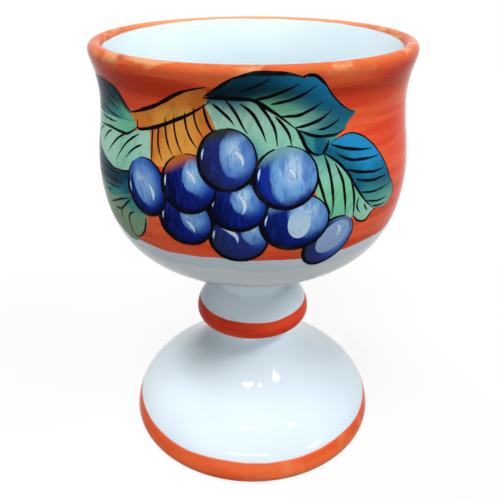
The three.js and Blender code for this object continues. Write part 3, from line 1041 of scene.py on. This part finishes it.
FINE_LINES = [
    [(-3.2, 135.6), (0.5, 136.9), (4.0, 138.7)],
    [(17.4, 125.2), (20.6, 125.6), (24.1, 127.6)],
    [*RIGHT_LOW_EDGE[5:], RIGHT_EDGE[-1]],
    [(31.5, 106.6), (35.3, 105.7), (40.4, 105.4), (45.5, 105.8)],
    [(34.2, 103.5), (38.5, 102.2), (44.3, 102.0)],
    [(36.9, 101.2), (41.1, 100.2), (44.4, 100.4)],
    [(31.0, 105.3), (30.4, 103.0), (32.0, 100.5)],
    [(33.2, 102.8), (34.8, 100.2)],
    [(-28.9, 125.0), (-29.2, 119.7), (-29.3, 114.6)],
    [(-26.4, 125.8), (-27.1, 120.9), (-25.5, 116.0)],
    [(-24.3, 127.8), (-24.1, 121.8), (-22.1, 117.8)],
    [(-21.6, 128.6), (-21.2, 122.7), (-18.8, 118.2)],
    [(-18.2, 129.6), (-17.6, 124.4), (-14.7, 120.5)],
    [(-15.5, 131.0), (-15.2, 126.8), (-13.0, 123.3)],
    [(-50.9, 132.6), (-48.0, 130.3), (-43.7, 128.4), (-42.4, 126.7)],
    [(-52.1, 129.0), (-47.1, 127.5), (-43.5, 126.5)],
    [(-55.5, 125.8), (-49.1, 124.9), (-42.7, 124.5)],
    [(-57.5, 122.6), (-50.1, 122.7), (-45.1, 123.0)],
    [(-59.0, 132.0), (-55.5, 129.6), (-53.0, 127.4)],
    [(-67.0, 130.4), (-63.0, 128.0), (-60.0, 126.0)],
    [(-39.8, 120.9), (-47.7, 116.3), (-51.1, 112.8)],
    [(-34.1, 121.7), (-40.8, 117.5), (-45.0, 112.3)],
    [(-32.9, 119.1), (-36.8, 117.2), (-40.0, 114.0)],
    [(-48.7, 119.9), (-54.1, 116.9), (-56.0, 114.9)],
    [(-56.0, 119.2), (-60.5, 117.4), (-62.5, 116.0)],
    [(-29.8, 116.0), (-34.0, 112.4), (-39.5, 110.5), (-44.7, 109.8), (-52.2, 110.6)],
    [(-55.7, 105.5), (-47.5, 106.0), (-41.4, 106.6)],
    [(-54.2, 103.5), (-47.9, 104.0), (-42.7, 104.7)],
    [(-53.0, 101.6), (-48.5, 102.2)],
    [(-57.6, 108.4), (-50.0, 108.4), (-43.0, 108.6)],
    [(-37.5, 102.9), (-41.2, 99.9), (-44.7, 96.4), (-44.5, 93.0)],
    [(-37.0, 99.0), (-40.9, 94.4), (-40.9, 91.2), (-37.6, 90.7)],
    [(-32.3, 98.7), (-33.9, 94.0), (-39.1, 89.7)],
    [(-51.6, 97.5), (-43.0, 101.2), (-37.9, 103.1)],
    [(-47.9, 96.9), (-43.4, 98.1)],
]
HAIR_LINES = [
    [(18.4, 136.6), (21.8, 132.9), (26.2, 129.7), (28.9, 128.5)],
    [(21.0, 121.0), *RIGHT_EDGE[1:]],
]
for lines, width in ((BOLD_LINES, BOLD), (PLAIN_LINES, PLAIN), (FINE_LINES, FINE), (HAIR_LINES, HAIR)):
    for points in lines:
        stroke(ink, points, width, INK_LIFT)

# Grapes, the lowest first, in the order that grape takes
GRAPE_LIFT = 0.075
GRAPE_STEP = 0.014
GRAPES = [
    ((22.2, 93.6), 6.3, 8.7, -48, (0.35, 0.3, 0.6), 0.62, GRAPE_GREY,
     [(1.6, 5.0), (2.8, 3.9), (2.7, 2.2), (1.9, 0.9)]),
    ((-3.8, 96.7), 7.9, 7.1, 0, (0.6, 0.34, 0.5), 0.6, GRAPE_DEEP,
     [(-4.4, 3.2), (-2.2, 2.3), (-0.5, 0.6), (-0.3, -1.1)]),
    ((-18.7, 100.6), 7.8, 7.1, 0, (0.42, 0.25, 0.55), 0.5, GRAPE_ROYAL,
     [(0.3, 0.3), (1.9, -0.9), (2.8, -3.1)]),
    ((11.6, 101.2), 9.5, 8.0, 0, (0.5, 0.25, 0.72), 0.35, GRAPE_LIGHT, []),
    ((-3.9, 106.2), 7.6, 6.8, 0, (0.32, 0.32, 0.55), 0.45, GRAPE_ROYAL,
     [(-0.5, 3.4), (1.3, 2.0), (1.9, 0.0), (1.1, -2.0)]),
    ((-31.2, 108.0), 7.0, 8.0, 20, (0.1, 0.15, 0.68), 0.28, GRAPE_MID,
     [(0.8, 1.1), (2.3, -0.5), (2.9, -2.3), (2.7, -3.4)]),
    ((-17.5, 111.2), 7.9, 7.8, 8, (0.32, 0.22, 0.5), 0.5, STALK_SHADE,
     [(-0.9, 3.5), (0.9, 2.4), (1.9, 1.1), (1.8, -0.1)]),
    ((8.9, 113.6), 8.6, 8.0, 0, (0.48, 0.08, 0.98), 0.1, GRAPE_MINT,
     [(0.3, 2.3), (1.9, 1.0), (2.2, -0.5)]),
    ((-6.8, 118.3), 7.8, 7.9, 0, (0.42, 0.2, 0.66), 0.58, GRAPE_OLIVE,
     [(1.3, 2.3), (3.2, 1.3), (4.2, -0.3), (4.0, -1.8)]),
]
GRAPE_CELLS = 28

# The black outline of a grape, its white touch and the tick at its left
OUTLINE_START = 112
OUTLINE_SWEEP = 338
OUTLINE_STEPS = 32
OUTLINE_WIDTH = 1.15
OUTLINE_ENDS = (0.2, 0.6)
OUTLINE_OVER = 0.005
TOUCH_WIDTH = 1.5
TOUCH_ENDS = (0.4, 0.5)
TOUCH_OVER = 0.009
TICK_WIDTH = 0.6
TICK_REACH = 0.87
TICK_ANGLES = (158, 172, 184)

# Round lights: which grape, shift from its middle, half width, half height, colour
ROUND_LIGHTS = [
    (3, (0.9, -0.5), 3.2, 4.3, GRAPE_BRIGHT),
    (0, (1.0, 1.3), 3.9, 6.0, GRAPE_HAZE),
]
ROUND_LIGHT_OVER = 0.0065
ROUND_LIGHT_CELLS = 14
grapes = Film()
lights = Film()


def rounded(along, across):
    """A place on a square, drawn in to a round."""
    return along * math.sqrt(1 - across * across / 2), across * math.sqrt(1 - along * along / 2)


def grape(middle, half_wide, half_high, lean, light, hue, shown, touch, lift):
    """A grape: a round of blue, its black outline with a gap, and its white touches.

    Its hue goes from royal blue (0) over navy (0.5) to grey (1), and shown is what shows through on top.
    """
    def on_grape(x, y):
        u, v = turned(x * half_wide, y * half_high, math.radians(lean))
        return middle[0] + u, middle[1] + v

    def spread(along, across):
        x, y = rounded(along, across)
        return *on_grape(x, y), (x, y)

    def rim(degrees, reach=1.0):
        angle = math.radians(degrees)
        return on_grape(math.cos(angle) * reach, math.sin(angle) * reach)

    grapes.lay(GRAPE_CELLS, GRAPE_CELLS, spread, lift, lambda along, across: (*shown[:3], hue), light)
    outline = [rim(OUTLINE_START + OUTLINE_SWEEP * k / OUTLINE_STEPS) for k in range(OUTLINE_STEPS + 1)]
    stroke(ink, outline, OUTLINE_WIDTH, lift + OUTLINE_OVER, ends=OUTLINE_ENDS)
    if touch:
        points = [(middle[0] + du, middle[1] + dv) for du, dv in touch]
        stroke(lights, points, TOUCH_WIDTH, lift + TOUCH_OVER, LIGHT_STROKE, TOUCH_ENDS)
    tick = [rim(degrees, TICK_REACH) for degrees in TICK_ANGLES]
    stroke(lights, tick, TICK_WIDTH, lift + TOUCH_OVER, LIGHT_STROKE, TOUCH_ENDS)


def round_light(order, shift, half_wide, half_high, colour):
    """The round pale light on a grape, a little thinner at its upper edge."""
    middle = GRAPES[order][0]
    lean = math.radians(GRAPES[order][3])
    lift = GRAPE_LIFT + GRAPE_STEP * order + ROUND_LIGHT_OVER

    def spread(along, across):
        x, y = rounded(along, across)
        u, v = turned(x * half_wide, y * half_high, lean)
        return middle[0] + shift[0] + u, middle[1] + shift[1] + v, (0.5 * x, 0.45 + 0.25 * y)

    lights.lay(ROUND_LIGHT_CELLS, ROUND_LIGHT_CELLS, spread, lift, lambda along, across: colour)


for order, row in enumerate(GRAPES):
    grape(*row, GRAPE_LIFT + GRAPE_STEP * order)
for row in ROUND_LIGHTS:
    round_light(*row)
grapes.finish("grape_bodies", grape_paint(), "orange_glaze")
lights.finish("grape_lights", light_paint(), "white_glaze")
ink.finish("ink_lines", ink_paint(), "orange_glaze")

# Stage: camera, floor, world and lamps, in metres
LENS = 43.2
SENSOR = 36.0
EYE = (0.0, -0.1925, 0.1686)
LOOK_DOWN = 27.7
LOOK_LEFT = 0.286
FLOOR_HALF = 0.6
FLOOR_GREY = (0.14, 0.14, 0.14, 1.0)
FLOOR_GLOW = (0.85, 1.0)
GLOW_REACH = (0.12, 0.4)
SKY_LIGHT = 0.06
LAMP_BASE = 0.03
LAMP_AIM = Vector((0.0, 0.0, 0.09))
scene = bpy.context.scene
scene.view_settings.view_transform = "Standard"

camera = bpy.data.cameras.new("camera")
camera.lens = LENS
camera.sensor_width = SENSOR
eye = bpy.data.objects.new("camera", camera)
eye.location = EYE
eye.rotation_euler = Euler((math.radians(90 - LOOK_DOWN), 0.0, math.radians(LOOK_LEFT)))
scene.collection.objects.link(eye)
scene.camera = eye

ground = bmesh.new()
bmesh.ops.create_grid(ground, x_segments=1, y_segments=1, size=FLOOR_HALF)
ground_mesh = bpy.data.meshes.new("floor")
ground.to_mesh(ground_mesh)
ground.free()
floor = bpy.data.objects.new("floor", ground_mesh)
scene.collection.objects.link(floor)


def seen(shading):
    """1 for rays from the eye, in reflections and through glass, 0 for light that falls on things."""
    rays = shading.node("LightPath").outputs
    return shading.either(rays["Is Camera Ray"], rays["Is Glossy Ray"], rays["Is Transmission Ray"])


def floor_paper():
    """White paper that keeps the shadow near the goblet and hides nothing from below."""
    paper = bpy.data.materials.new("floor_paper")
    paper.use_nodes = True
    paper.node_tree.nodes.clear()
    shading = Shading(paper.node_tree)
    matt = shading.node("BsdfDiffuse")
    matt.inputs["Color"].default_value = FLOOR_GREY
    paler = shading.ease(shading.reach(shading.place()), *GLOW_REACH, *FLOOR_GLOW)
    glow = shading.node("Emission")
    shading.feed(glow.inputs["Strength"], shading.times(seen(shading), paler))
    lit = shading.node("AddShader")
    shading.feed(lit.inputs[0], matt.outputs[0])
    shading.feed(lit.inputs[1], glow.outputs[0])
    one_sided = shading.node("MixShader")
    shading.feed(one_sided.inputs[0], shading.node("NewGeometry").outputs["Backfacing"])
    shading.feed(one_sided.inputs[1], lit.outputs[0])
    shading.feed(one_sided.inputs[2], shading.node("BsdfTransparent").outputs[0])
    shading.feed(shading.node("OutputMaterial").inputs["Surface"], one_sided.outputs[0])
    return paper


ground_mesh.materials.append(floor_paper())

world = bpy.data.worlds.new("studio")
world.use_nodes = True
scene.world = world
sky = Shading(world.node_tree)
background = world.node_tree.nodes["Background"]
background.inputs["Color"].default_value = (1.0, 1.0, 1.0, 1.0)
sky.feed(background.inputs["Strength"], sky.ease(seen(sky), 0.0, 1.0, SKY_LIGHT, 1.0))


def lamp(name, around, up, away, size, power, mirrored=True, shape="RECTANGLE", roll=0.0):
    """A soft lamp that looks at the goblet, placed by its bearing from the front and its height angle."""
    light = bpy.data.lights.new(name, "AREA")
    light.shape = shape
    light.size, light.size_y = size
    light.energy = power
    thing = bpy.data.objects.new(name, light)
    bearing = math.radians(around)
    climb = math.radians(up)
    level = away * math.cos(climb)
    over_floor = LAMP_BASE + away * math.sin(climb)
    thing.location = (level * math.sin(bearing), -level * math.cos(bearing), over_floor)
    aim = LAMP_AIM - thing.location
    tilt = Quaternion((0.0, 0.0, 1.0), math.radians(roll))
    thing.rotation_euler = (aim.to_track_quat("-Z", "Y") @ tilt).to_euler()
    thing.visible_glossy = mirrored
    scene.collection.objects.link(thing)


lamp("key_panel", -15, 68, 1.3, (0.6, 0.3), 7.4, mirrored=False)
lamp("right_panel", 75, 46, 1.3, (0.5, 0.3), 6.2, mirrored=False)
lamp("left_panel", -112, 68, 1.3, (0.35, 0.3), 5.2, mirrored=False)
lamp("left_low_panel", -35, 12, 1.3, (0.3, 0.3), 2.3, mirrored=False)
lamp("right_low_panel", 90, 12, 1.3, (0.3, 0.3), 1.3, mirrored=False)
lamp("front_low_panel", 5, 6, 1.3, (0.3, 0.15), 0.7, mirrored=False)
lamp("left_spot", -11, 59.5, 1.2, (0.27, 0.035), 0.9, shape="ELLIPSE", roll=4.5)
lamp("middle_spot", 16.4, 59.5, 1.2, (0.07, 0.03), 0.2, shape="ELLIPSE", roll=-6)
lamp("right_spot", 52.3, 51.3, 1.2, (0.171, 0.066), 0.8, shape="ELLIPSE", roll=-24.7)
lamp("front_strip", -4, 25, 1.2, (0.8, 0.08), 1.3)
lamp("right_strip", 56, 13, 1.2, (0.28, 0.14), 0.9)
